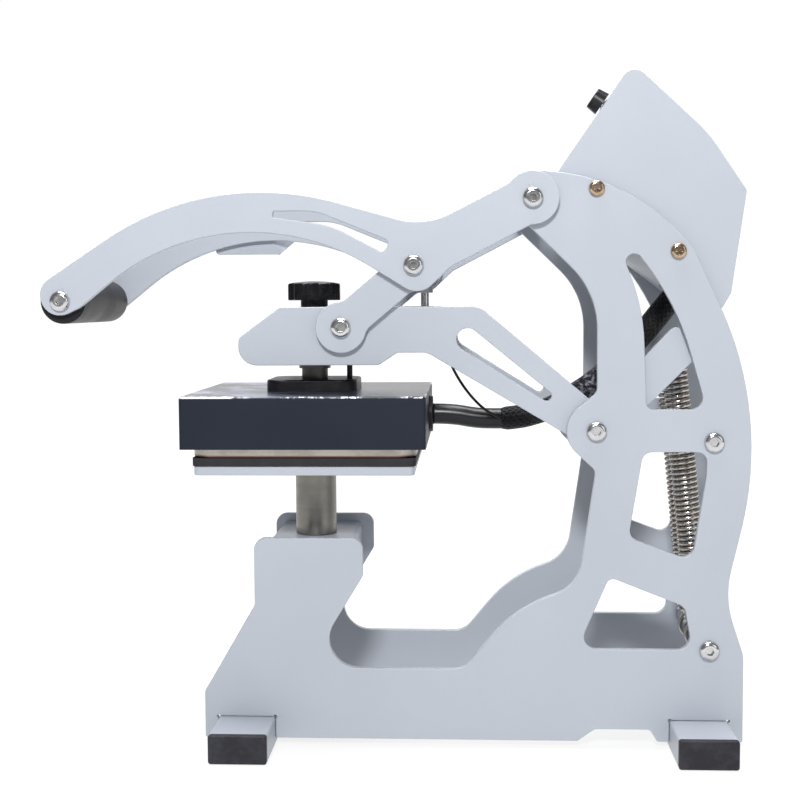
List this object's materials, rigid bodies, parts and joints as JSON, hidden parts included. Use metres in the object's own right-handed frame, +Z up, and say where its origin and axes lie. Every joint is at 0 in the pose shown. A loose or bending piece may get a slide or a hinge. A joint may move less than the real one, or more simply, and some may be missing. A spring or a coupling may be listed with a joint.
{
  "type": "mini heat press",
  "caption": "Small clamshell heat press with a toggle handle, heated upper platen, fixed lower platen on a post and a control box at the rear.",
  "frame": {"origin": "on the table under the middle of the press's length and width", "axes": "+X from the operator's end to the rear, +Y to the far side plate, +Z up"},
  "size_m": [0.4886, 0.2, 0.4654],
  "materials": {
    "powder_coat": "light blue-grey powder coat with fine texture",
    "dark_enamel": "satin navy-black enamel, worn bright along the top edge",
    "black_steel": "black oxide steel",
    "zinc": "zinc plated fasteners",
    "yellow_zinc": "yellow passivated screws",
    "stainless": "drawn stainless tube",
    "spring_steel": "zinc plated spring wire",
    "aluminium_plate": "milled aluminium",
    "silicone": "dark brown silicone foam",
    "black_plastic": "black moulded plastic",
    "black_rubber": "black rubber",
    "grip_foam": "black grip sleeve",
    "gloss_black": "gloss black plastic",
    "display_window": "tinted display window",
    "circuit_board": "green circuit board",
    "insulation": "mineral fibre mat",
    "braided_sleeve": "black braided sleeve",
    "cable_jacket": "black cable jacket",
    "wire_jacket": "thin wire jacket"
  },
  "bodies": {
    "frame": {"frame_plate_near": "powder_coat", "frame_plate_far": "powder_coat", "foot_tubes": "powder_coat", "foot_caps": "black_plastic", "post_mount": "powder_coat", "press_post": "stainless", "post_bolt": "zinc", "lower_platen": "powder_coat", "silicone_pad": "silicone", "lower_tie_rod": "zinc", "lever_stops": "black_rubber", "frame_bolts": "zinc", "handle_pivot_tube": "zinc", "handle_pivot_bolts": "zinc", "arm_pivot_shaft": "zinc", "box_screws": "yellow_zinc", "control_box_shell": "powder_coat", "control_box_cover": "powder_coat", "cover_screws": "zinc", "controller_bezel": "black_plastic", "controller_window": "display_window", "controller_board": "circuit_board", "dial_bush": "zinc", "power_switch_frame": "gloss_black", "mains_inlet": "black_plastic", "cable_bushing": "black_plastic", "return_springs": "spring_steel"},
    "handle": {"handle_plate_near": "powder_coat", "handle_plate_far": "powder_coat", "handle_grip": "grip_foam", "grip_bolts": "zinc", "handle_cross_tube": "powder_coat", "cross_tube_bolts": "zinc", "handle_tab": "powder_coat"},
    "links": {"link_plate_near": "powder_coat", "link_plate_far": "powder_coat", "link_end_bolts": "zinc"},
    "platen_arm": {"arm_plate_near": "powder_coat", "arm_plate_far": "powder_coat", "nut_block": "powder_coat", "arm_cross_tube": "zinc", "lever_spring_bar": "zinc", "stop_plate": "powder_coat", "stop_screw": "zinc", "closing_sensor": "black_plastic", "switch_wire": "wire_jacket", "cable_sleeve": "braided_sleeve"},
    "heat_platen": {"platen_housing": "dark_enamel", "heating_plate": "aluminium_plate", "heating_element": "stainless", "platen_insulation": "insulation", "swivel_block": "black_steel", "guide_pin": "zinc", "cable_gland": "black_plastic", "heater_cable": "cable_jacket"},
    "pressure_spindle": {"pressure_screw": "zinc", "pressure_knob": "black_plastic"},
    "dial_plunger": {"dial_shaft": "zinc"},
    "dial": {"panel_dial": "black_plastic"},
    "rocker": {"power_rocker": "gloss_black"}
  },
  "joints": [
    {"name": "handle_pivot", "type": "hinge", "parent": "frame", "child": "handle", "pos_m": [0.0954, 0, 0.3801], "axis": [0, 1, 0], "range_deg": [0, 71.59]},
    {"name": "link_pivot", "type": "hinge", "parent": "handle", "child": "links", "pos_m": [0.0148, 0, 0.3353], "axis": [0, 1, 0], "range_deg": [-125.25, 0]},
    {"name": "platen_arm_pivot", "type": "hinge", "parent": "frame", "child": "platen_arm", "pos_m": [0.1394, 0, 0.2214], "axis": [0, 1, 0], "range_deg": [0, 33.01], "deforming": ["return_springs", "cable_sleeve"]},
    {"name": "platen_lift", "type": "slide", "parent": "platen_arm", "child": "heat_platen", "axis": [0, 0, 1], "range_m": [0, 0.004]},
    {"name": "pressure_screw_turn", "type": "hinge", "parent": "heat_platen", "child": "pressure_spindle", "pos_m": [-0.0602, 0, 0.3], "axis": [0, 0, 1], "range_deg": [0, 720]},
    {"name": "dial_push", "type": "slide", "parent": "frame", "child": "dial_plunger", "axis": [0.824, 0, -0.5667], "range_m": [0, 0.0005], "stiffness_N_per_m": 400},
    {"name": "dial_turn", "type": "hinge", "parent": "dial_plunger", "child": "dial", "pos_m": [0.14856, 0, 0.44968], "axis": [-0.824, 0, 0.5667], "continuous": true},
    {"name": "power_rocker_tilt", "type": "hinge", "parent": "frame", "child": "rocker", "pos_m": [0.23166, -0.017, 0.35031], "axis": [0, 1, 0], "range_deg": [0, 18]}
  ],
  "couplings": [
    {"joint": "platen_arm_pivot", "follows": "handle_pivot", "ratio": 0.46096},
    {"joint": "link_pivot", "follows": "handle_pivot", "ratio": -1.7493},
    {"joint": "pressure_screw_turn", "follows": "platen_lift", "rad_per_m": 3141.6}
  ]
}
